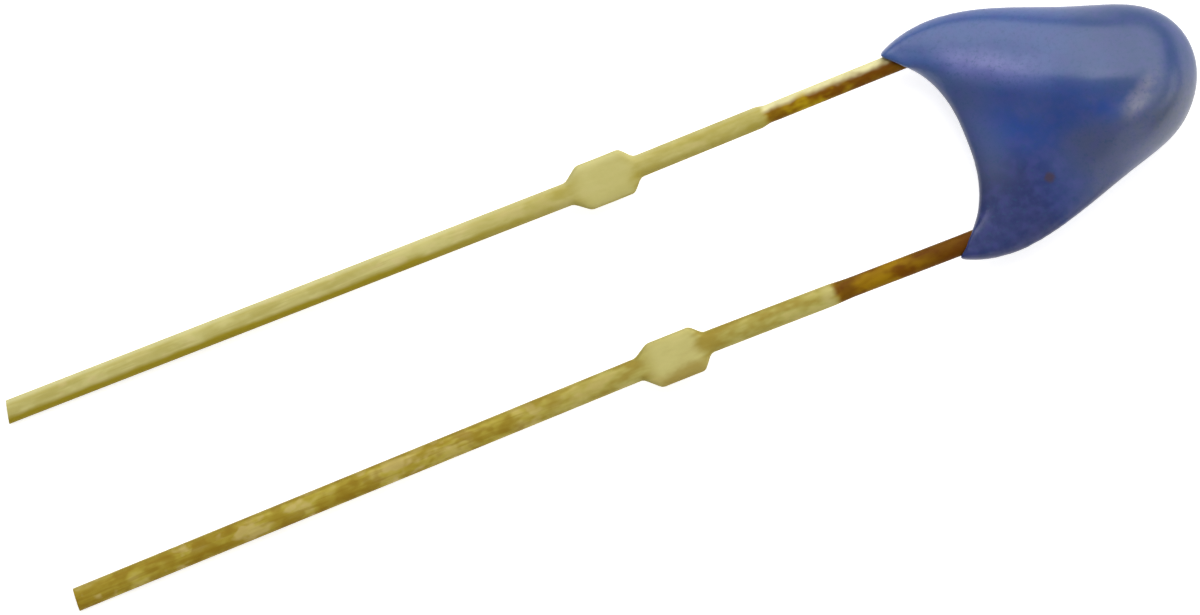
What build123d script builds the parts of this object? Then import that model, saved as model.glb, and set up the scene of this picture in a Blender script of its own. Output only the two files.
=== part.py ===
from build123d import *
import math
import os

# An NTC thermistor: a ceramic disc clasped by two stamped strip leads and dipped
# in lacquer. Millimetres. +X runs from the lead tips to the head, Y across the
# leads, Z up. It lies on the head's belly and on the tips of its leads. The pieces
# are drawn in the plane of the leads, with X = 0 where the leads enter the head.

# Leads, each stamped from strip.
pitch = 5.10                # centre to centre where they enter the head
stop_pitch = 5.00           # centre to centre at the stops
tip_pitch = 5.28            # centre to centre at the tips
front_reach = 24.90         # from the head to the tip of the front lead
back_reach = 25.05          # from the head to the tip of the back lead
front_cut_angle = 13.0      # how far the cut at the tip is from square
back_cut_angle = 4.0
strip_width = 0.62          # from the tip to the stop
neck_width = 0.60           # just above the stop
strip_thickness = 0.40
strip_chamfer = 0.07        # long edges, softened by the tin

# Stops: a hexagonal widening that seats on the circuit board.
stop_distance = 7.98        # from the head to the middle of the stop
stop_width = 1.24
stop_flat = 1.22            # length at full width
lower_slope = 0.40          # length of the slope on the tip side
upper_slope = 0.29          # length of the slope on the head side
stop_rounding = 0.12

# Hot-dipped stretch next to the head: a slimmer, rounder section.
dip_length = 3.40
dip_width = 0.50
dip_thickness = 0.37
dip_rounding = 0.14

# Inside the head the leads run in a V and step apart to clasp the disc.
bend_distance = 0.80        # where the V starts
lead_angle = 25.0           # half angle of the V
step_start = 3.20           # where a lead leaves the middle plane
step_end = 4.40             # where it lies on its electrode
lead_overlap = 0.20         # how far a lead passes the middle of the disc

# Ceramic disc, fired silver electrodes and solder.
disc_distance = 5.78        # from the head's entry plane to the disc's middle
disc_tilt = 14.0            # it turns between the leads as they clasp it
disc_diameter = 2.60
disc_thickness = 1.30
disc_chamfer = 0.08
electrode_margin = 0.15     # bare ceramic around each electrode
electrode_thickness = 0.03
solder_radius = 0.56
solder_top_radius = 0.36
solder_height = 0.34
solder_setback = 0.15       # from the end of the lead to the solder's middle

# Lacquer.
film = 0.36                 # over the leads where they lie on the disc
disc_film = 0.35            # over the faces of the disc
dome_film = 0.56            # around the edge of the disc
foot_film = 0.08            # where it thins out on a lead
film_growth = 2.30          # length over which it gains its full depth
foot_distance = -0.10       # where it starts, on a lead's outer edge
foot_slant = 0.66           # how much later it starts on the inner edge
shoulder_distance = 1.55    # where the head is widest
head_width = 6.53
flank_start = Vector(0.95, -0.13)   # from the widest point to the straight flank
cheek = 0.15                # how much fuller the back side is, beside the disc
arch_depth = 0.66           # of the arch between the leads, from its feet
outer_slope = 0.42          # fall of the ridge over a lead, towards the outline
inner_slope = 0.70          # the same towards the web
ridge_roundness = 0.25      # of its crest
ridge_shift = 0.60          # how far its crest lies inwards of the lead
ridge_return = 0.70         # share of that lost again over the disc
ridge_lift = 0.12           # how much higher it stands before the disc
shift_growth = 2.50         # length over which the crest shifts and lifts
ridge_bend = 0.50           # softness of the turn it takes with the lead
ridge_ease = 0.40           # from the lead's seat on the disc to the full height
end_slope = 0.50            # fall past the end of the lead
end_roundness = 0.40
disc_shoulder = 0.35        # where the swell starts to fall, from the disc's edge
disc_slope = 0.90
disc_roundness = 0.50
web_slope = 0.055           # how the web between the leads thickens towards the disc
web_tilt = 0.055            # how it rises towards the ridge
web_blend = 0.20            # softness of the hollow beside a ridge
disc_blend = 0.10           # the same beside the disc
rim_roundness = 0.85        # how far the rounded outer edge reaches in
lip_roundness = 0.50        # the same along the arch
section_count = 25          # sections from one foot round to the other
half_points = 10            # steps across the head in each section

bend_start = bend_distance - dip_width / 2
lead_end = disc_distance + lead_overlap
stack_height = disc_thickness / 2 + electrode_thickness
dome_radius = disc_diameter / 2 + dome_film
tilt = math.radians(disc_tilt)
spread = math.radians(lead_angle)


# Each lead is drawn at +Y, and the back one is then turned half a turn about X,
# so that the two clasp the disc. A side is 1 for the front and -1 for the back.

def turned(shape, side):
    return shape if side > 0 else Rot(X=180) * shape


def centre_line(x, reach=0):
    """Distance from the X axis to the middle of a lead."""
    if x > bend_distance:
        return pitch / 2 - (x - bend_distance) * math.tan(spread)
    if x > 0:
        return pitch / 2
    if x > -stop_distance:
        return pitch / 2 + (stop_pitch - pitch) / 2 * (-x / stop_distance)
    below = (-x - stop_distance) / (reach - stop_distance)
    return stop_pitch / 2 + (tip_pitch - stop_pitch) / 2 * below


def clasp_height(y, offset):
    """Height of a layer of the tilted stack, offset from the disc's middle plane."""
    return offset / math.cos(tilt) - y * math.tan(tilt)


def strip_outline(reach, cut_angle, side):
    """The flat strip from its tip to the dipped stretch, with its stop."""
    lower_foot = -stop_distance - stop_flat / 2 - lower_slope
    upper_foot = -stop_distance + stop_flat / 2 + upper_slope
    stations = [
        (lower_foot, strip_width / 2),
        (-stop_distance - stop_flat / 2, stop_width / 2),
        (-stop_distance + stop_flat / 2, stop_width / 2),
        (upper_foot, neck_width / 2),
        (-dip_length, neck_width / 2),
    ]
    cut = side * strip_width / 2 * math.tan(math.radians(cut_angle))
    tip_y = centre_line(-reach, reach)
    outer = [(-reach + cut, tip_y + strip_width / 2)]
    inner = [(-reach - cut, tip_y - strip_width / 2)]
    for x, half_width in stations:
        outer.append((x, centre_line(x, reach) + half_width))
        inner.append((x, centre_line(x, reach) - half_width))
    outline = make_face(Polyline(*outer, *reversed(inner), close=True))
    corners = [v for v in outline.vertices() if lower_foot - 0.01 < v.X < upper_foot + 0.01]
    return fillet(corners, stop_rounding)


def lead_plane(x, y, z, direction, roll):
    """A plane square to a lead, with its Y across the strip's thickness."""
    along = Vector(*direction).normalized()
    up = Vector(0, math.sin(roll), math.cos(roll))
    return Plane(origin=(x, y, z), x_dir=up.cross(along), z_dir=along)


def dipped_stretch():
    """The slim rounded stretch next to the head."""
    start = -dip_length - strip_chamfer
    section = RectangleRounded(dip_width, dip_thickness, dip_rounding)
    begin = lead_plane(start, centre_line(start), 0, (1, 0, 0), 0)
    end = lead_plane(bend_start, pitch / 2, 0, (1, 0, 0), 0)
    return loft([begin * section, end * section], ruled=True)


def clasping_end():
    """The strip inside the head: its V and its step onto the electrode."""
    straight = (1, 0, 0)
    inward = (math.cos(spread), -math.sin(spread), 0)
    on_disc = (math.cos(spread), -math.sin(spread), math.sin(spread) * math.tan(tilt))
    stations = [
        (bend_start, straight, False),
        (bend_start + dip_width, inward, False),
        (step_start, inward, False),
        (step_end, on_disc, True),
        (lead_end, on_disc, True),
    ]
    sections = []
    for x, direction, on_electrode in stations:
        y = centre_line(x)
        z = clasp_height(y, stack_height + dip_thickness / 2) if on_electrode else 0
        plane = lead_plane(x, y, z, direction, tilt if on_electrode else 0)
        sections.append(plane * Rectangle(dip_width, dip_thickness))
    return loft(sections, ruled=True)


def make_lead(reach, cut_angle, side):
    strip = extrude(strip_outline(reach, cut_angle, side), strip_thickness / 2, both=True)
    long_edges = [e for e in strip.edges() if abs(abs(e.center().Z) - strip_thickness / 2) < 0.01]
    strip = chamfer(long_edges, strip_chamfer)
    return turned(strip + dipped_stretch() + clasping_end(), side)


# The stack is drawn flat about the origin, then tilted and set in its place.

def in_stack(shape, side):
    return Pos(X=disc_distance) * Rot(X=-disc_tilt) * turned(shape, side)


def make_disc():
    disc = Cylinder(disc_diameter / 2, disc_thickness)
    return in_stack(chamfer(disc.edges().filter_by(GeomType.CIRCLE), disc_chamfer), 1)


def make_electrode(side):
    layer = Cylinder(disc_diameter / 2 - electrode_margin, electrode_thickness)
    return in_stack(Pos(Z=disc_thickness / 2 + electrode_thickness / 2) * layer, side)


def make_solder(side, lead):
    """A cap of solder on the electrode, around the end of the lead."""
    cap = Cone(solder_radius, solder_top_radius, solder_height)
    x = lead_overlap - solder_setback * math.cos(spread)
    y = centre_line(disc_distance + x) / math.cos(tilt)
    return in_stack(Pos(x, y, stack_height + solder_height / 2) * cap, side) - lead


# The lacquer is lofted through sections that fan from the arch to the outline.

def smooth_step(value, start, end):
    share = min(max((value - start) / (end - start), 0), 1)
    return share * share * (3 - 2 * share)


def positive(value, softness):
    """The value where it is above zero and nothing below, with a soft turn."""
    return (value + math.hypot(value, softness)) / 2


def rounded_fall(distance, slope, roundness):
    return slope * (math.hypot(distance, roundness) - roundness)


def highest(blend, *heights):
    """The highest of the heights, with a soft hollow where two are level."""
    return blend * math.log(sum(math.exp(height / blend) for height in heights))


def ridge_line(x):
    return pitch / 2 - math.tan(spread) * positive(x - bend_distance, ridge_bend)


def height_over_lead(x, y):
    """The ridge along the lead that climbs to this face."""
    turn = (x - bend_distance) / math.hypot(x - bend_distance, ridge_bend)
    heading = math.atan(math.tan(spread) * (1 + turn) / 2)
    across = (y - ridge_line(x)) * math.cos(heading)
    along = x + across * math.sin(heading)
    past = positive(along - lead_end, end_roundness)
    near = along - past
    low = dip_thickness / 2
    high = clasp_height(ridge_line(near), stack_height + dip_thickness)
    top = low + (high - low) * smooth_step(near, 0, step_end + ridge_ease)
    depth = foot_film + (film - foot_film) * smooth_step(near, 0, film_growth)
    grown = smooth_step(near, 0, shift_growth)
    over_disc = smooth_step(near, step_end, lead_end)
    beside = across + ridge_shift * grown * (1 - ridge_return * over_disc)
    sides = rounded_fall(beside, outer_slope if beside > 0 else inner_slope, ridge_roundness)
    return top + depth + ridge_lift * grown * (1 - over_disc) - sides - end_slope * past


def height_over_disc(x, y):
    past = max(math.hypot(x - disc_distance, y) - disc_diameter / 2 + disc_shoulder, 0)
    return clasp_height(y, stack_height) + disc_film - rounded_fall(past, disc_slope, disc_roundness)


def lacquer_height(x, y):
    """Height of the lacquer's top, before its edges are rounded off."""
    tilted = web_tilt * y * smooth_step(x, 0, film_growth)
    web = dip_thickness / 2 + foot_film + web_slope * x + tilted
    draped = highest(web_blend, height_over_lead(x, y), web)
    return highest(disc_blend, draped, height_over_disc(x, y))


def half_outline(fullness):
    """Points of the outline from a foot to the dome, drawn at +Y."""
    foot = Vector(foot_distance, pitch / 2 + dip_width / 2 + foot_film)
    shoulder = Vector(shoulder_distance, head_width / 2)
    toe = Vector(foot.X * 0.7 + shoulder.X * 0.3, foot.Y * 0.42 + shoulder.Y * 0.58)
    bend = shoulder + flank_start
    middle = Vector(disc_distance, 0)
    reach = bend - middle
    angle = math.atan2(reach.Y, reach.X) - math.acos(dome_radius / reach.length)
    touch = middle + dome_radius * Vector(math.cos(angle), math.sin(angle))
    flank = bend * 0.3 + touch * 0.7
    swell = Vector(0, fullness)
    dome = middle + dome_radius * Vector(math.cos(angle / 2), math.sin(angle / 2))
    return [foot, toe, shoulder, bend, flank + swell, touch + swell, dome]


def mirrored(points):
    return [Vector(p.X, -p.Y) for p in reversed(points)]


def make_outline():
    crown = Vector(disc_distance + dome_radius, 0)
    return Spline(*half_outline(0), crown, *mirrored(half_outline(cheek)))


def make_arch():
    start = foot_distance + foot_slant
    half = pitch / 2 - dip_width / 2 - foot_film
    side = [
        Vector(start, half),
        Vector(start + arch_depth * 0.59, half * 0.72),
        Vector(start + arch_depth * 0.92, half * 0.38),
    ]
    return Spline(*side, Vector(start + arch_depth, 0), *mirrored(side))


def edge_rounding(away, reach):
    return math.sqrt(1 - (1 - min(away / reach, 1)) ** 2)


def lacquer_section(share, arch, outline):
    """A closed curve that stands on the line from the outline to the arch."""
    inner = arch @ share
    outer = outline @ share
    foot_share = smooth_step(min(share, 1 - share), 0, 0.15)
    rim = foot_film + (rim_roundness - foot_film) * foot_share
    lip = foot_film + (lip_roundness - foot_film) * foot_share
    faces = {1: [], -1: []}
    for step in range(1, half_points):
        across = (1 - math.cos(math.pi * step / half_points)) / 2
        spot = outer + (inner - outer) * across
        rounding = edge_rounding(Vertex(spot).distance_to(outline), rim)
        rounding = rounding * edge_rounding(Vertex(spot).distance_to(arch), lip)
        for side, points in faces.items():
            height = side * rounding * lacquer_height(spot.X, side * spot.Y)
            points.append(spot + Vector(0, 0, height))
    ring = [outer, *faces[1], inner, *reversed(faces[-1]), outer]
    steps = len(ring) - 1
    upright = [Vector(0, 0, ring[1].Z * steps), Vector(0, 0, -ring[-2].Z * steps)]
    shares = [step / steps for step in range(steps + 1)]
    return Wire([Edge.make_spline(ring, tangents=upright, parameters=shares, scale=False)])


def make_lacquer(inside):
    arch = make_arch()
    outline = make_outline()
    shares = [number / (section_count - 1) for number in range(section_count)]
    return Solid.make_loft([lacquer_section(share, arch, outline) for share in shares]) - inside


front_lead = make_lead(front_reach, front_cut_angle, 1)
back_lead = make_lead(back_reach, back_cut_angle, -1)
thermistor_disc = make_disc()
front_electrode = make_electrode(1)
back_electrode = make_electrode(-1)
front_solder = make_solder(1, front_lead)
back_solder = make_solder(-1, back_lead)
inside = [
    front_lead,
    back_lead,
    thermistor_disc,
    front_electrode,
    back_electrode,
    front_solder,
    back_solder,
]
lacquer = make_lacquer(inside)
pieces = {
    "lacquer_coating": lacquer,
    "thermistor_disc": thermistor_disc,
    "front_electrode": front_electrode,
    "back_electrode": back_electrode,
    "front_solder": front_solder,
    "back_solder": back_solder,
    "front_lead": front_lead,
    "back_lead": back_lead,
}


# Laid down: tipped until the belly is level with the tips of the leads, then set
# with the middle of its footprint at the origin.

def tip_height(slope):
    angle = math.radians(slope)
    return max(front_reach, back_reach) * math.sin(angle) - strip_thickness / 2 * math.cos(angle)


slope = 0.0
for _ in range(4):
    drop = (Rot(Y=slope) * lacquer).bounding_box().min.Z - tip_height(slope)
    slope += math.degrees(math.asin(drop / (front_reach + disc_distance)))
laid = {name: Rot(Y=slope) * piece for name, piece in pieces.items()}
box = Compound(list(laid.values())).bounding_box()
seat = Pos(-box.center().X, -box.center().Y, -box.min.Z)

os.makedirs("parts", exist_ok=True)
for name, piece in laid.items():
    export_step(seat * piece, f"parts/{name}.step")
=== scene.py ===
import math

import bmesh
import bpy
from mathutils import Matrix, Vector


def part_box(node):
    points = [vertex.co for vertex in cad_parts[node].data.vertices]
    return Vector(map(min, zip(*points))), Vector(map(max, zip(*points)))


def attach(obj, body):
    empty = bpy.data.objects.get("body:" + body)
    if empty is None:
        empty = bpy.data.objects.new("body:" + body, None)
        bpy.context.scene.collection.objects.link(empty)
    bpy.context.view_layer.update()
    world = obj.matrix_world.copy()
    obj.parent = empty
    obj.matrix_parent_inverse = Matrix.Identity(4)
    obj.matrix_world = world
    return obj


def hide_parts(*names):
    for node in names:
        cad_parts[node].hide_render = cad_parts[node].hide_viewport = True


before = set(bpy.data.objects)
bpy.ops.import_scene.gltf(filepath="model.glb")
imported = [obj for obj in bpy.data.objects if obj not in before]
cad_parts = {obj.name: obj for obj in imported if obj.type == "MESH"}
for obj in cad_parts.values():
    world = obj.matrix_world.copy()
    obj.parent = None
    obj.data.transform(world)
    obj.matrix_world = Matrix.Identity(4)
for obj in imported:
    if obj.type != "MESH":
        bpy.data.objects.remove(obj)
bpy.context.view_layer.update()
mm = 0.001
print("frame loaded:", len(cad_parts), "nodes")


# The leads and the head are drawn in the plane of the leads, in millimetres, with
# x = 0 where the leads enter the head, and then laid down as the part lies.

plan = {
    "backReach": 25.05,      # from the head to the tip of the back lead
    "stripThickness": 0.40,
    "discDistance": 5.78,    # from the head's entry to the middle of the disc
}

discLow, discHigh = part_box("thermistor_disc")
discMiddle = (discLow + discHigh) / 2
rise = discMiddle.z / mm - plan["stripThickness"] / 2
slope = math.asin(rise / (plan["discDistance"] + plan["backReach"]))
layDown = (
    Matrix.Translation(discMiddle)
    @ Matrix.Rotation(-slope, 4, "Y")
    @ Matrix.Scale(mm, 4)
    @ Matrix.Translation((-plan["discDistance"], 0, 0))
)
entry = layDown @ Vector((0, 0, 0))
print("slope of the leads", round(math.degrees(slope), 3), "degrees, entry", entry)


# A Wire is one socket, and sums on wires add their Math nodes.

class Wire:
    def __init__(self, sheet, socket):
        self.sheet = sheet
        self.socket = socket

    def math(self, operation, first, second=0):
        return self.sheet.add("ShaderNodeMath", {"operation": operation}, {0: first, 1: second})

    def __add__(self, other):
        return self.math("ADD", self, other)

    def __radd__(self, other):
        return self.math("ADD", other, self)

    def __sub__(self, other):
        return self.math("SUBTRACT", self, other)

    def __rsub__(self, other):
        return self.math("SUBTRACT", other, self)

    def __mul__(self, other):
        return self.math("MULTIPLY", self, other)

    def __rmul__(self, other):
        return self.math("MULTIPLY", other, self)

    def most(self, other):
        return self.math("MAXIMUM", self, other)

    def away(self):
        return self.math("ABSOLUTE", self)

    def root(self):
        return self.math("SQRT", self)

    def ragged(self, noise, shift):
        return self + (noise - 0.5) * shift

    def ramp(self, low, high):
        settings = {"interpolation_type": "SMOOTHSTEP"}
        values = {"Value": self, "From Min": low, "From Max": high}
        return self.sheet.add("ShaderNodeMapRange", settings, values)


# A Sheet holds the nodes of one material, or of the world.

class Sheet:
    def __init__(self, owner):
        self.owner = owner
        self.owner.use_nodes = True
        self.tree = self.owner.node_tree

    def add(self, kind, settings, values, output=0):
        node = self.tree.nodes.new(kind)
        for name, setting in settings.items():
            setattr(node, name, setting)
        self.feed(node, values)
        return Wire(self, node.outputs[output])

    def feed(self, node, values):
        for name, value in values.items():
            if isinstance(value, Wire):
                self.tree.links.new(value.socket, node.inputs[name])
            else:
                node.inputs[name].default_value = value

    def paint(self, values):
        self.feed(self.tree.nodes["Principled BSDF"], values)

    def place(self):
        spot = self.add("ShaderNodeTexCoord", {}, {}, "Object")
        return self.add(
            "ShaderNodeMapping",
            {"vector_type": "TEXTURE"},
            {"Vector": spot, "Location": entry, "Rotation": (0, -slope, 0), "Scale": (mm, mm, mm)},
        )

    def axis(self, place, name):
        return self.add("ShaderNodeSeparateXYZ", {}, {0: place}, name)

    def reading(self, name):
        return self.add("ShaderNodeAttribute", {"attribute_name": name}, {}, "Fac")

    def ray(self, kind):
        return self.add("ShaderNodeLightPath", {}, {}, kind)

    def noise(self, place, scale, detail, roughness, stretch=(1, 1, 1), shift=(0, 0, 0)):
        values = {"Vector": place, "Scale": stretch, "Location": shift}
        placed = self.add("ShaderNodeMapping", {}, values)
        values = {"Vector": placed, "Scale": scale, "Detail": detail, "Roughness": roughness}
        return self.add("ShaderNodeTexNoise", {}, values)

    def mix(self, share, first, second):
        values = {0: share, 6: first, 7: second}  # the sockets that an RGBA mix uses
        return self.add("ShaderNodeMix", {"data_type": "RGBA"}, values, 2)

    def bump(self, height, strength, depth, normal=None):
        values = {"Height": height, "Strength": strength, "Distance": depth * mm}
        if normal:
            values["Normal"] = normal
        return self.add("ShaderNodeBump", {}, values)


def tone(red, green, blue):
    def linear(value):
        value = value / 255
        return value / 12.92 if value <= 0.04045 else ((value + 0.055) / 1.055) ** 2.4

    return (linear(red), linear(green), linear(blue), 1.0)


def grey(value):
    return (value, value, value, 1.0)


def newPiece(name, bm, material, sharp=40):
    mesh = bpy.data.meshes.new(name)
    bm.to_mesh(mesh)
    bm.free()
    mesh.materials.append(material)
    mesh.shade_smooth()
    mesh.set_sharp_from_angle(angle=math.radians(sharp))
    piece = bpy.data.objects.new(name, mesh)
    bpy.context.scene.collection.objects.link(piece)
    return piece


def applyModifiers(piece):
    graph = bpy.context.evaluated_depsgraph_get()
    mesh = bpy.data.meshes.new_from_object(piece.evaluated_get(graph))
    piece.modifiers.clear()
    old = piece.data
    piece.data = mesh
    bpy.data.meshes.remove(old)


# An edge of a tint is where it starts, where it ends and how far the noise shifts it,
# in millimetres. One of two numbers isn't shifted. A cover is the stretch of the noise
# over which a tint comes in.

lacquer = {
    "clouds": {"scale": 1.1, "detail": 3.0, "roughness": 0.55},
    "drift": {"scale": 3.2, "detail": 2.0, "roughness": 0.5, "shift": (3, 7, 1)},
    "grain": {"scale": 10.0, "detail": 4.0, "roughness": 0.7},
    "peel": {"scale": 4.0, "detail": 2.0, "roughness": 0.5},
    "blur": (1.6, 0.6),      # mm, by the clouds and by the drift
    "body": tone(68, 94, 152),
    "shell": {               # painted sheen, greyer towards the crown
        "tone": tone(62, 82, 128),
        "share": 1.0,
        "start": (3.6, 6.0, 1.0),
    },
    "pool": {                # painted shade in the web between the ridge and the back lead
        "tone": tone(42, 74, 150),
        "share": 1.0,
        "top": 2.30,
        "fall": 0.42,
        "edge": (-0.1, 0.7, 0.4),
        "lean": 0.4,
        "end": (4.2, 6.0, 1.0),
    },
    "foot": {                # painted shade over the back lead
        "tone": tone(40, 48, 98),
        "share": 0.9,
        "edge": (0.2, 1.6, 0.6),
        "end": (2.2, 4.2, 0.6),
    },
    "flank": {               # a painted reflection on the slope of the dome, on the back lead's side
        "tone": tone(98, 100, 104),
        "share": 0.55,
        "edge": (0.2, 1.3, 0.4),
        "start": (2.6, 4.2, 0.5),
    },
    "lip": {                 # a painted reflection on the rim of the arch between the feet
        "tone": tone(92, 98, 112),
        "share": 0.45,
        "end": (1.5, 2.7, 0.3),
        "sides": (0.8, 2.0),
    },
    "crest": {               # a painted highlight along the ridge over the front lead
        "tone": tone(138, 134, 200),
        "share": 0.45,
        "fall": 0.55,
        "top": 2.9,
        "shift": 0.3,
        "width": (0.0, 0.75),
        "start": (1.0, 1.8, 0.4),
        "end": (2.6, 4.4, 0.4),
    },
    "streak": {              # a painted highlight: a pale streak on the dome, turned by this cosine and sine
        "tone": tone(156, 152, 160),
        "share": 0.4,
        "middle": (5.95, -0.60),
        "turn": (0.8, 0.6),
        "shift": 0.6,
        "width": (0.0, 0.40),
        "length": (0.2, 1.0),
        "height": (0, 0.3),
    },
    "violet": {"tone": tone(80, 80, 150), "share": 0.3, "cover": (0.36, 0.72)},
    "deep": {"tone": tone(36, 78, 116), "share": 0.5, "cover": (0.48, 0.75)},
    "rim": {                 # a painted reflection all round, at half height
        "tone": tone(84, 84, 104),
        "share": 0.35,
        "height": (0.0, 0.34, 0.1),
        "cover": (0.25, 0.55),
        "oliveTone": tone(92, 92, 84),
        "oliveEdge": (0.0, 1.2),
        "oliveStart": (2.0, 3.4),
    },
    "speck": {               # one dark speck in the lacquer
        "tone": tone(70, 52, 60),
        "share": 0.75,
        "middle": (2.90, -1.77),
        "shift": 0.12,
        "radius": (0.07, 0.20),
        "height": (0, 0.1),
    },
    "peelBump": (0.12, 0.025),   # strength, and depth in mm
    "grainBump": (0.12, 0.008),
    "roughness": 0.32,
    "roughnessSpread": 0.16,
}


def dippedLacquer():
    sheet = Sheet(bpy.data.materials.new("dippedLacquer"))
    place = sheet.place()
    x, y, z = (sheet.axis(place, name) for name in "XYZ")
    clouds, drift, grain, peel = (
        sheet.noise(place, **lacquer[name]) for name in ("clouds", "drift", "grain", "peel")
    )
    blur = (clouds - 0.5) * lacquer["blur"][0] + (drift - 0.5) * lacquer["blur"][1]
    below = 0 - y            # towards the back lead

    def edge(wire, low, high, shift):
        return (wire + blur * shift).ramp(low, high)

    def tinted(colour, look, mask):
        return sheet.mix(mask * look["share"], colour, look["tone"])

    # painted sheen: the base colour turns greyer towards the crown
    look = lacquer["shell"]
    colour = tinted(lacquer["body"], look, edge(x, *look["start"]))
    # painted shade: a darker blue in the web between the ridge and the back lead
    look = lacquer["pool"]
    inside = edge(look["top"] - x * look["fall"] - y, *look["edge"])
    colour = tinted(colour, look, inside * (1 - edge(x + y * look["lean"], *look["end"])))
    # painted shade: a darker tone over the back lead, fading towards the crown
    look = lacquer["foot"]
    colour = tinted(colour, look, edge(below, *look["edge"]) * (1 - edge(x, *look["end"])))
    # painted reflection: a grey tone on the dome's slope on the back lead's side
    look = lacquer["flank"]
    colour = tinted(colour, look, edge(below, *look["edge"]) * edge(x, *look["start"]))
    # painted reflection: a paler grey tone along the rim of the arch between the feet
    look = lacquer["lip"]
    inside = (1 - edge(x, *look["end"])) * (1 - y.away().ramp(*look["sides"]))
    colour = tinted(colour, look, inside)
    # painted highlight: a pale lavender band along the ridge over the front lead
    look = lacquer["crest"]
    above = x * look["fall"] + y - look["top"]
    ridge = 1 - (above + blur * look["shift"]).away().ramp(*look["width"])
    colour = tinted(colour, look, ridge * edge(x, *look["start"]) * (1 - edge(x, *look["end"])))
    # painted highlight: a pale streak on the upper half of the dome
    look = lacquer["streak"]
    dx = (x - look["middle"][0]).ragged(drift, look["shift"])
    dy = (y - look["middle"][1]).ragged(clouds, look["shift"])
    cosine, sine = look["turn"]
    streak = 1 - (dy * cosine - dx * sine).away().ramp(*look["width"])
    streak = streak * (1 - (dx * cosine + dy * sine).away().ramp(*look["length"]))
    colour = tinted(colour, look, streak * z.ramp(*look["height"]))
    for name, noise in (("violet", drift), ("deep", grain)):
        look = lacquer[name]
        colour = tinted(colour, look, noise.ramp(*look["cover"]))
    # painted reflection round the outline at half height, more olive on the back lead's side
    # towards the crown
    look = lacquer["rim"]
    olive = below.ramp(*look["oliveEdge"]) * x.ramp(*look["oliveStart"])
    rim = (1 - edge(z.away(), *look["height"])) * drift.ramp(*look["cover"])
    rimTone = sheet.mix(olive, look["tone"], look["oliveTone"])
    colour = sheet.mix(rim * look["share"], colour, rimTone)
    look = lacquer["speck"]
    dx = (x - look["middle"][0]).ragged(grain, look["shift"])
    dy = (y - look["middle"][1]).ragged(drift, look["shift"])
    away = (dx * dx + dy * dy).root()
    colour = tinted(colour, look, (1 - away.ramp(*look["radius"])) * z.ramp(*look["height"]))
    normal = sheet.bump(peel, *lacquer["peelBump"])
    normal = sheet.bump(grain, *lacquer["grainBump"], normal)
    sheet.paint({
        "Base Color": colour,
        "Roughness": lacquer["roughness"] + (grain - 0.5) * lacquer["roughnessSpread"],
        "Normal": normal,
    })
    return sheet.owner


skin = {
    "weld": 0.001,
    "crease": 50,            # degrees: a sharper edge ends the outer surface
    "voxel": 0.05,
    "smoothing": 12,
    "pull": 0.5,
}


def outerFaces(bm):
    # From the crown of the head over every edge that isn't sharp.
    start = max(bm.faces, key=lambda face: face.calc_center_median().x)
    found = {start}
    queue = [start]
    limit = math.radians(skin["crease"])
    while queue:
        face = queue.pop()
        for edge in face.edges:
            if len(edge.link_faces) != 2 or edge.calc_face_angle() > limit:
                continue
            for neighbour in edge.link_faces:
                if neighbour not in found:
                    found.add(neighbour)
                    queue.append(neighbour)
    return found


def makeSkin():
    bm = bmesh.new()
    bm.from_mesh(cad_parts["lacquer_coating"].data)
    bmesh.ops.remove_doubles(bm, verts=bm.verts, dist=skin["weld"] * mm)
    outer = outerFaces(bm)
    inner = [face for face in bm.faces if face not in outer]
    bmesh.ops.delete(bm, geom=inner, context="FACES")
    bmesh.ops.holes_fill(bm, edges=bm.edges, sides=0)
    print("skin", len(bm.faces), "faces, open edges", sum(e.is_boundary for e in bm.edges))
    material = dippedLacquer()
    piece = newPiece("lacquerSkin", bm, material)
    remesh = piece.modifiers.new("even", "REMESH")
    remesh.mode = "VOXEL"
    remesh.voxel_size = skin["voxel"] * mm
    remesh.use_smooth_shade = True
    applyModifiers(piece)
    bm = bmesh.new()
    bm.from_mesh(piece.data)
    everyAxis = {"use_axis_x": True, "use_axis_y": True, "use_axis_z": True}
    for _ in range(skin["smoothing"]):
        bmesh.ops.smooth_vert(bm, verts=bm.verts, factor=skin["pull"], **everyAxis)
    bm.to_mesh(piece.data)
    bm.free()
    piece.data.shade_smooth()
    piece.data.materials.clear()
    piece.data.materials.append(material)
    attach(piece, "root")
    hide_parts("lacquer_coating")


makeSkin()
print("lacquer done")


# The shape and the finish that both leads share, and then what differs between them.
# A share of 0 leaves its mark out.

strip = {
    "pitch": 5.10,           # centre to centre, at the head
    "stopDistance": 7.98,
    "stopFlat": 1.22,
    "lowerSlope": 0.40,
    "upperSlope": 0.29,
    "tailWidth": 0.62,
    "stopWidth": 1.24,
    "neckWidth": 0.60,
    "neckTaper": 0.98,       # of the neck's width, just before the waist
    "waistStart": 0.20,
    "waistEnd": 0.35,
    "dipLength": 3.40,
    "dipStep": 0.1,          # half the length over which the strip gets thinner
    "bareThickness": 0.392,
    "dipThickness": 0.37,
    "dipSlimming": 0.008,
    "pillow": 0.206,         # the section's exponent is its width over this
    "softness": 0.05,        # of the corners of the outline
    "sides": 32,
    "rings": 420,
    "bendDistance": 0.80,    # where the leads turn inwards, inside the head
    "bendSpread": 0.25,
    "leadAngle": 25,
    "stepStart": 3.20,
    "stepEnd": 4.40,
    "discTilt": 14,
    "stackHeight": 0.68,
    "leadEnd": 5.98,
    "sharp": 38,
}
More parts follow.
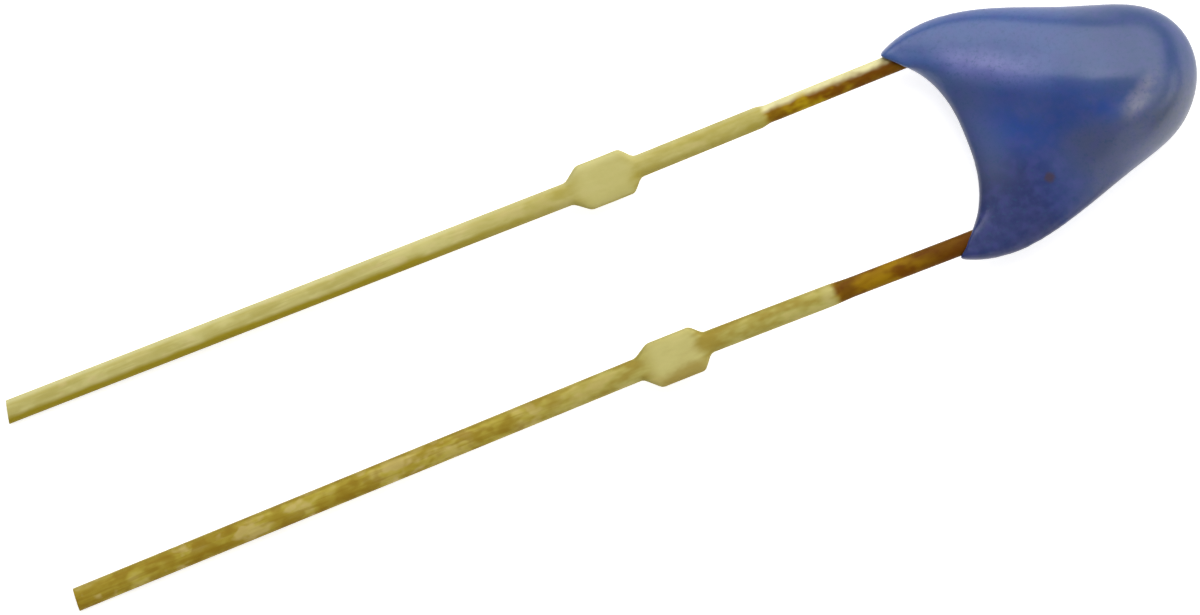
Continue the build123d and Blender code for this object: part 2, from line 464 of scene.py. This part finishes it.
tin = {
    "clouds": {"scale": 1.2, "detail": 3.0, "roughness": 0.6, "stretch": (0.8, 1.5, 1)},
    "mottle": {"scale": 2.4, "detail": 2.0, "roughness": 0.5, "stretch": (0.55, 1.4, 1)},
    "lines": {"scale": 5.0, "detail": 2.0, "roughness": 0.5, "stretch": (0.10, 1.6, 1)},
    "blots": {"scale": 1.9, "detail": 2.0, "roughness": 0.55, "stretch": (0.8, 1.3, 1)},
    "grain": {"scale": 8.0, "detail": 3.0, "roughness": 0.6},
    "tailStart": -8.9,
    "tailFade": (0, 5),
    "paleCover": (0.30, 0.70),
    "stainCover": (0.38, 0.66),
    "blushCover": (0.02, 0.22),
    "blushShare": 0.7,
    "lineCover": (0.46, 0.60),
    "spotCover": (0.50, 0.64),
    "spotBlushCover": (0.04, 0.16),
    "shadeShift": 0.3,
    "shadeFade": 0.45,
    "shadeAlong": (0.25, 0.75),      # the share at the head, and what the tip adds to it
    "stopShift": 0.6,
    "stopEdge": (0.45, 0.95),
    "stopShare": 0.7,
    "stopShadeShift": 0.8,
    "stopShadeFade": 0.4,
    "stopShadeShare": 0.6,
    "lowEdgeShift": 0.12,
    "lowEdgeCover": (0.86, 0.99),
    "highEdgeShift": 0.3,
    "highEdgeCover": (0.55, 0.90),
    "highEdgeAlong": (0.4, 0.6),
    "dip": 3.42,                     # length of the brown stretch
    "dipShift": 0.3,
    "dipEdge": 0.10,
    "scorchCover": (0.38, 0.62),
    "amberCover": (0.45, 0.65),
    "amberShare": 0.5,
    "sootShift": 0.8,
    "sootStart": (-1.8, -0.6),
    "sootShare": 0.8,
    "startInset": 0.32,              # of the darker line where the brown begins
    "startShift": 0.5,
    "startWidth": (0.08, 0.40),
    "startShare": 0.65,
    "creamShift": 1.4,
    "creamFade": 0.85,
    "bandOffset": 0.22,              # of the pale band before the brown
    "bandShift": 0.6,
    "bandWidth": (0.0, 0.30),
    "cloudBump": (0.3, 0.04),        # strength, and depth in mm
    "mottleBump": (0.3, 0.02),
    "grainBump": (0.3, 0.008),
    "metal": 0.15,
    "specular": 0.1,
    "roughness": 0.50,
    "roughnessSpread": 0.25,
}
frontStrip = {
    "name": "front",
    "side": 1,
    "reach": 24.87,
    "path": [(-24.90, 2.64), (-7.98, 2.505), (0, 2.55)],
    "cutAngle": 13,
    "waistWidth": 0.49,
    "dipWidth": 0.505,
    "ground": tone(184, 172, 92),
    "pale": tone(198, 188, 116),
    "stain": tone(160, 142, 34),
    "mottle": 0.35,
    "stop": tone(202, 194, 124),
    "stopShade": 1.5,        # past 1.4 the stop has no shade
    "worn": tone(206, 198, 128),
    "tailWear": 0.8,
    "blush": tone(214, 194, 138),
    "line": tone(182, 170, 92),
    "lines": 0.5,
    "spots": 0.3,
    "gleam": tone(222, 216, 160),
    "lowEdge": 0.4,
    "highEdge": 0.6,
    "shadeFrom": 0.20,
    "shade": 1.0,
    "heat": tone(176, 146, 10),
    "scorch": tone(122, 76, 0),
    "soot": tone(112, 66, 4),
    "amber": tone(196, 166, 30),
    "cream": tone(236, 230, 172),
    "creamFrom": 0.10,
    "creamShare": 0.95,
    "band": tone(150, 132, 40),
    "bandShare": 0.0,
    "shift": (0, 0, 0),
}
backStrip = {
    "name": "back",
    "side": -1,
    "reach": 25.02,
    "path": [
        (-25.05, 2.62), (-9.0, 2.455), (-8.6, 2.515), (-7.35, 2.515), (-7.0, 2.465), (0, 2.55),
    ],
    "cutAngle": 4,
    "waistWidth": 0.565,
    "dipWidth": 0.53,
    "ground": tone(178, 166, 84),
    "pale": tone(188, 180, 100),
    "stain": tone(148, 118, 16),
    "mottle": 0.6,
    "stop": tone(208, 200, 130),
    "stopShade": 0.35,
    "worn": tone(180, 162, 54),
    "tailWear": 0.85,
    "blush": tone(206, 186, 118),
    "line": tone(140, 108, 16),
    "lines": 0.4,
    "spots": 0.55,
    "gleam": tone(150, 132, 50),
    "lowEdge": 0.0,
    "highEdge": 0.4,
    "shadeFrom": 0.40,
    "shade": 0.0,
    "heat": tone(148, 110, 4),
    "scorch": tone(116, 70, 0),
    "soot": tone(98, 54, 2),
    "amber": tone(166, 128, 14),
    "cream": tone(160, 140, 60),
    "creamFrom": 0.75,
    "creamShare": 0.4,
    "band": tone(206, 196, 130),
    "bandShare": 0.5,
    "shift": (4, 2, 0),
}


def tinnedStrip(look):
    sheet = Sheet(bpy.data.materials.new(look["name"] + "Tin"))
    place = sheet.place()
    x = sheet.axis(place, "X")
    across = sheet.reading("across")
    below = 0 - across
    clouds, mottle, lines, blots = (
        sheet.noise(place, **tin[name], shift=look["shift"])
        for name in ("clouds", "mottle", "lines", "blots")
    )
    grain = sheet.noise(place, **tin["grain"])
    tail = (tin["tailStart"] - x).ramp(*tin["tailFade"])

    def along(first, more):
        return first + tail * more

    stains = mottle.ramp(*tin["stainCover"]) * look["mottle"]
    blushes = (0.5 - mottle).ramp(*tin["blushCover"]) * look["mottle"] * tin["blushShare"]
    lineMask = lines.ramp(*tin["lineCover"]) * look["lines"] * tail
    spotMask = blots.ramp(*tin["spotCover"]) * look["spots"] * tail
    spotBlush = (0.5 - blots).ramp(*tin["spotBlushCover"]) * look["spots"] * tail
    colour = sheet.mix(clouds.ramp(*tin["paleCover"]), look["ground"], look["pale"])
    colour = sheet.mix(tail * look["tailWear"], colour, look["worn"])
    colour = sheet.mix(stains, colour, look["stain"])
    colour = sheet.mix(blushes, colour, look["blush"])
    colour = sheet.mix(lineMask, colour, look["line"])
    colour = sheet.mix(spotMask, colour, look["line"])
    colour = sheet.mix(spotBlush, colour, look["blush"])

    # painted shade: the stain colour darkens the strip towards its -Y side
    start = look["shadeFrom"]
    shaded = below.ragged(mottle, tin["shadeShift"]).ramp(start, start + tin["shadeFade"])
    colour = sheet.mix(shaded * look["shade"] * along(*tin["shadeAlong"]), colour, look["stain"])
    stopMiddle = x.ragged(mottle, tin["stopShift"]) + strip["stopDistance"]
    flat = 1 - stopMiddle.away().ramp(*tin["stopEdge"])
    colour = sheet.mix(flat * tin["stopShare"], colour, look["stop"])
    # painted shade on the lower side of the stop, in the stain colour
    start = look["stopShade"]
    shaded = below.ragged(clouds, tin["stopShadeShift"]).ramp(start, start + tin["stopShadeFade"])
    colour = sheet.mix(flat * shaded * tin["stopShadeShare"], colour, look["stain"])

    # painted shade: a thin dark line along the -Y edge
    edge = below.ragged(mottle, tin["lowEdgeShift"]).ramp(*tin["lowEdgeCover"])
    colour = sheet.mix(edge * look["lowEdge"], colour, look["stain"])
    # painted light on the +Y edge: a pale highlight on the front strip, darker shade on the back
    # strip
    edge = across.ragged(mottle, tin["highEdgeShift"]).ramp(*tin["highEdgeCover"])
    edge = edge * look["highEdge"] * along(*tin["highEdgeAlong"])
    colour = sheet.mix(edge, colour, look["gleam"])

    burnt = sheet.mix(blots.ramp(*tin["scorchCover"]), look["heat"], look["scorch"])
    burnt = sheet.mix(mottle.ramp(*tin["amberCover"]) * tin["amberShare"], burnt, look["amber"])
    sooty = x.ragged(blots, tin["sootShift"]).ramp(*tin["sootStart"])
    burnt = sheet.mix(sooty * tin["sootShare"], burnt, look["soot"])
    fromStart = x.ragged(mottle, tin["startShift"]) + tin["dip"] - tin["startInset"]
    sooty = 1 - fromStart.away().ramp(*tin["startWidth"])
    burnt = sheet.mix(sooty * tin["startShare"], burnt, look["soot"])
    start = look["creamFrom"]
    bright = across.ragged(blots, tin["creamShift"]).ramp(start, start + tin["creamFade"])
    burnt = sheet.mix(bright * look["creamShare"], burnt, look["cream"])

    fromBand = x.ragged(mottle, tin["bandShift"]) + tin["dip"] + tin["bandOffset"]
    band = fromBand.away().ramp(*tin["bandWidth"])
    colour = sheet.mix(look["bandShare"] - band * look["bandShare"], colour, look["band"])
    dipped = x.ragged(blots, tin["dipShift"])
    dipped = dipped.ramp(-tin["dip"] - tin["dipEdge"], -tin["dip"] + tin["dipEdge"])
    colour = sheet.mix(dipped, colour, burnt)

    normal = sheet.bump(clouds, *tin["cloudBump"])
    normal = sheet.bump(mottle, *tin["mottleBump"], normal)
    normal = sheet.bump(grain, *tin["grainBump"], normal)
    sheet.paint({
        "Base Color": colour,
        "Metallic": tin["metal"],
        "Specular IOR Level": tin["specular"],
        "Roughness": tin["roughness"] + (mottle - 0.5) * tin["roughnessSpread"],
        "Normal": normal,
    })
    return sheet.owner


def between(points, x):
    # A value from a list of (place, value), straight between its points.
    for (x0, v0), (x1, v1) in zip(points, points[1:]):
        if x <= x1:
            return v0 + (v1 - v0) * max(x - x0, 0) / (x1 - x0)
    return points[-1][1]


def stripWidth(x, look):
    middle = -strip["stopDistance"]
    half = strip["stopFlat"] / 2
    waist = -strip["dipLength"]
    points = [
        (middle - half - strip["lowerSlope"], strip["tailWidth"]),
        (middle - half, strip["stopWidth"]),
        (middle + half, strip["stopWidth"]),
        (middle + half + strip["upperSlope"], strip["neckWidth"]),
        (waist - strip["waistStart"], strip["neckWidth"] * strip["neckTaper"]),
        (waist, look["waistWidth"]),
        (waist + strip["waistEnd"], look["dipWidth"]),
        (0, look["dipWidth"]),
    ]
    return sum(between(points, x + step * strip["softness"]) for step in (-1, 0, 1)) / 3


def stripThickness(x):
    points = [
        (-strip["dipLength"] - strip["dipStep"], strip["bareThickness"]),
        (-strip["dipLength"] + strip["dipStep"], strip["dipThickness"] - strip["dipSlimming"]),
    ]
    return between(points, x)


def stripMiddle(x, look):
    bend = strip["bendDistance"]
    inwards = (strip["leadEnd"] - bend) * math.tan(math.radians(strip["leadAngle"]))
    points = look["path"] + [
        (bend, strip["pitch"] / 2),
        (strip["leadEnd"], strip["pitch"] / 2 - inwards),
    ]
    return between(points, x)


def stepShare(x):
    # How far the strip has climbed from the leads' plane onto the tilted disc.
    return between([(strip["stepStart"], 0), (strip["stepEnd"], 1)], x)


def stripHeight(x, y):
    tilt = math.radians(strip["discTilt"])
    stack = strip["stackHeight"] + strip["dipThickness"] / 2
    return (stack / math.cos(tilt) - y * math.tan(tilt)) * stepShare(x)


def stripHeading(x):
    bend = strip["bendDistance"]
    turned = between([(bend - strip["bendSpread"], 0), (bend + strip["bendSpread"], 1)], x)
    return math.radians(strip["leadAngle"]) * turned


def sectionPoint(angle, width, thickness):
    # A pillow section: flatter where the strip is wider.
    power = 2 / (width / strip["pillow"])
    across = math.copysign(abs(math.cos(angle)) ** power, math.cos(angle))
    up = math.copysign(abs(math.sin(angle)) ** power, math.sin(angle))
    return across, across * width / 2, up * thickness / 2


def makeStrip(look):
    bm = bmesh.new()
    bmesh.ops.create_cone(
        bm, cap_ends=True, cap_tris=False, segments=strip["sides"], radius1=1, radius2=1, depth=1,
    )
    longEdges = [e for e in bm.edges if abs(e.verts[0].co.z - e.verts[1].co.z) > 0.5]
    bmesh.ops.subdivide_edges(bm, edges=longEdges, cuts=strip["rings"])
    layer = bm.verts.layers.float.new("across")
    cut = math.tan(math.radians(look["cutAngle"])) * look["side"]
    for vert in bm.verts:
        share = vert.co.z + 0.5
        x = -look["reach"] + share * (look["reach"] + strip["leadEnd"])
        angle = math.atan2(vert.co.y, vert.co.x)
        vert[layer], off, up = sectionPoint(angle, stripWidth(x, look), stripThickness(x))
        roll = math.radians(strip["discTilt"]) * stepShare(x)
        turn = Matrix.Rotation(-stripHeading(x), 3, "Z") @ Matrix.Rotation(-roll, 3, "X")
        middle = stripMiddle(x, look)
        spot = Vector((x, middle, stripHeight(x, middle))) + turn @ Vector((0, off, up))
        if share * strip["rings"] < 0.5:  # the ring at the tip
            spot.x += off * cut
        if look["side"] < 0:
            spot.y, spot.z = -spot.y, -spot.z
            vert[layer] = -vert[layer]
        vert.co = layDown @ spot
    bmesh.ops.recalc_face_normals(bm, faces=bm.faces)
    piece = newPiece(look["name"] + "Strip", bm, tinnedStrip(look), strip["sharp"])
    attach(piece, "root")
    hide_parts(look["name"] + "_lead")


makeStrip(frontStrip)
makeStrip(backStrip)
print("leads done")


# The pieces inside keep their solids, each with one noise for tint, relief and gloss.

ceramic = {
    "name": "sinteredCeramic",
    "noise": {"scale": 14.0, "detail": 4.0, "roughness": 0.7},
    "body": tone(58, 56, 58),
    "mark": tone(92, 88, 86),
    "cover": (0.45, 0.75),
    "bump": (0.3, 0.01),     # strength, and depth in mm
    "metal": 0.0,
    "roughness": 0.8,
    "roughnessSpread": 0.2,
}
silver = {
    "name": "firedSilver",
    "noise": {"scale": 6.0, "detail": 4.0, "roughness": 0.65},
    "body": tone(206, 204, 196),
    "mark": tone(170, 160, 138),
    "cover": (0.45, 0.75),
    "bump": (0.3, 0.008),
    "metal": 0.9,
    "roughness": 0.45,
    "roughnessSpread": 0.3,
}
solder = {
    "name": "softSolder",
    "noise": {"scale": 4.0, "detail": 3.0, "roughness": 0.6},
    "body": tone(178, 176, 170),
    "mark": tone(150, 132, 92),
    "cover": (0.50, 0.72),
    "bump": (0.35, 0.02),
    "metal": 0.9,
    "roughness": 0.3,
    "roughnessSpread": 0.3,
}


def innerFinish(look):
    sheet = Sheet(bpy.data.materials.new(look["name"]))
    film = sheet.noise(sheet.place(), **look["noise"])
    sheet.paint({
        "Base Color": sheet.mix(film.ramp(*look["cover"]), look["body"], look["mark"]),
        "Metallic": look["metal"],
        "Roughness": look["roughness"] + (film - 0.5) * look["roughnessSpread"],
        "Normal": sheet.bump(film, *look["bump"]),
    })
    return sheet.owner


def dress(look, *nodes):
    material = innerFinish(look)
    for node in nodes:
        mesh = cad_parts[node].data
        mesh.materials.clear()
        mesh.materials.append(material)


dress(ceramic, "thermistor_disc")
dress(silver, "front_electrode", "back_electrode")
dress(solder, "front_solder", "back_solder")
print("inner pieces done")


studio = {
    "floorSize": 1200,
    "floorNoise": {"scale": 0.4, "detail": 3.0, "roughness": 0.55},
    "floorGreys": (0.88, 0.91),
    "floorRoughness": 0.9,
    "floorGlow": 0.65,
    "worldLight": 0.18,
    "worldWhite": 1.0,
    "lampDistance": 215,
    "lamps": {               # size, bearing, elevation, power
        "keyLamp": (240, -2, 51, 0.46),
        "sheenLamp": (40, -5, 68, 0.016),
        "sideLamp": (150, 85, 30, 0.12),
        "fillLamp": (200, 170, 20, 0.10),
    },
    "heading": 21.7,         # degrees from the leads to the level of the frame
    "look": (-9.343, -0.566),  # the middle of the frame, in the plan of the leads
    "frameWidth": 31.53,
    "lens": 500,
    "sensor": 36,
    "clip": (1, 5000),
}


def makeFloor():
    bm = bmesh.new()
    bmesh.ops.create_grid(bm, x_segments=1, y_segments=1, size=studio["floorSize"] * mm / 2)
    sheet = Sheet(bpy.data.materials.new("paleFloor"))
    paper = sheet.noise(sheet.place(), **studio["floorNoise"])
    low, high = (grey(value) for value in studio["floorGreys"])
    seen = sheet.ray("Is Camera Ray")
    for kind in ("Is Glossy Ray", "Is Transmission Ray"):
        seen = seen.most(sheet.ray(kind))
    sheet.paint({
        "Base Color": sheet.mix(paper, low, high),
        "Roughness": studio["floorRoughness"],
        "Emission Color": sheet.mix(seen, grey(0), grey(studio["floorGlow"])),
        "Emission Strength": 1.0,
    })
    floor = newPiece("floor", bm, sheet.owner)


def makeWorld():
    sheet = Sheet(bpy.data.worlds.new("studioWorld"))
    bpy.context.scene.world = sheet.owner
    light = sheet.tree.nodes["Background"]
    sheet.feed(light, {"Color": grey(1), "Strength": studio["worldLight"]})
    values = {"Color": grey(1), "Strength": studio["worldWhite"]}
    white = sheet.add("ShaderNodeBackground", {}, values)
    values = {0: sheet.ray("Is Camera Ray"), 1: Wire(sheet, light.outputs[0]), 2: white}
    shown = sheet.add("ShaderNodeMixShader", {}, values)
    sheet.feed(sheet.tree.nodes["World Output"], {"Surface": shown})


def makeLamp(name, middle, size, bearing, elevation, power):
    # The bearing turns clockwise from the top of the frame.
    lamp = bpy.data.lights.new(name, "AREA")
    lamp.shape = "SQUARE"
    lamp.size = size * mm
    lamp.energy = power
    turn = math.radians(studio["heading"] + bearing)
    lift = math.radians(elevation)
    level = math.cos(lift)
    away = Vector((math.sin(turn) * level, math.cos(turn) * level, math.sin(lift)))
    holder = bpy.data.objects.new(name, lamp)
    bpy.context.scene.collection.objects.link(holder)
    holder.location = middle + away * studio["lampDistance"] * mm
    holder.rotation_euler = away.to_track_quat("Z", "Y").to_euler()


def makeStudio():
    middle = entry + Vector((studio["look"][0] * mm, studio["look"][1] * mm, 0))
    for name, values in studio["lamps"].items():
        makeLamp(name, middle, *values)
    camera = bpy.data.cameras.new("camera")
    camera.lens = studio["lens"]
    camera.sensor_width = studio["sensor"]
    camera.clip_start, camera.clip_end = (reach * mm for reach in studio["clip"])
    holder = bpy.data.objects.new("camera", camera)
    bpy.context.scene.collection.objects.link(holder)
    distance = studio["frameWidth"] * mm * camera.lens / camera.sensor_width
    holder.location = Vector((middle.x, middle.y, entry.z + distance))
    holder.rotation_euler = (0, 0, -math.radians(studio["heading"]))
    bpy.context.scene.camera = holder


makeFloor()
makeWorld()
makeStudio()
bpy.context.scene.view_settings.view_transform = "Standard"
print("studio done")
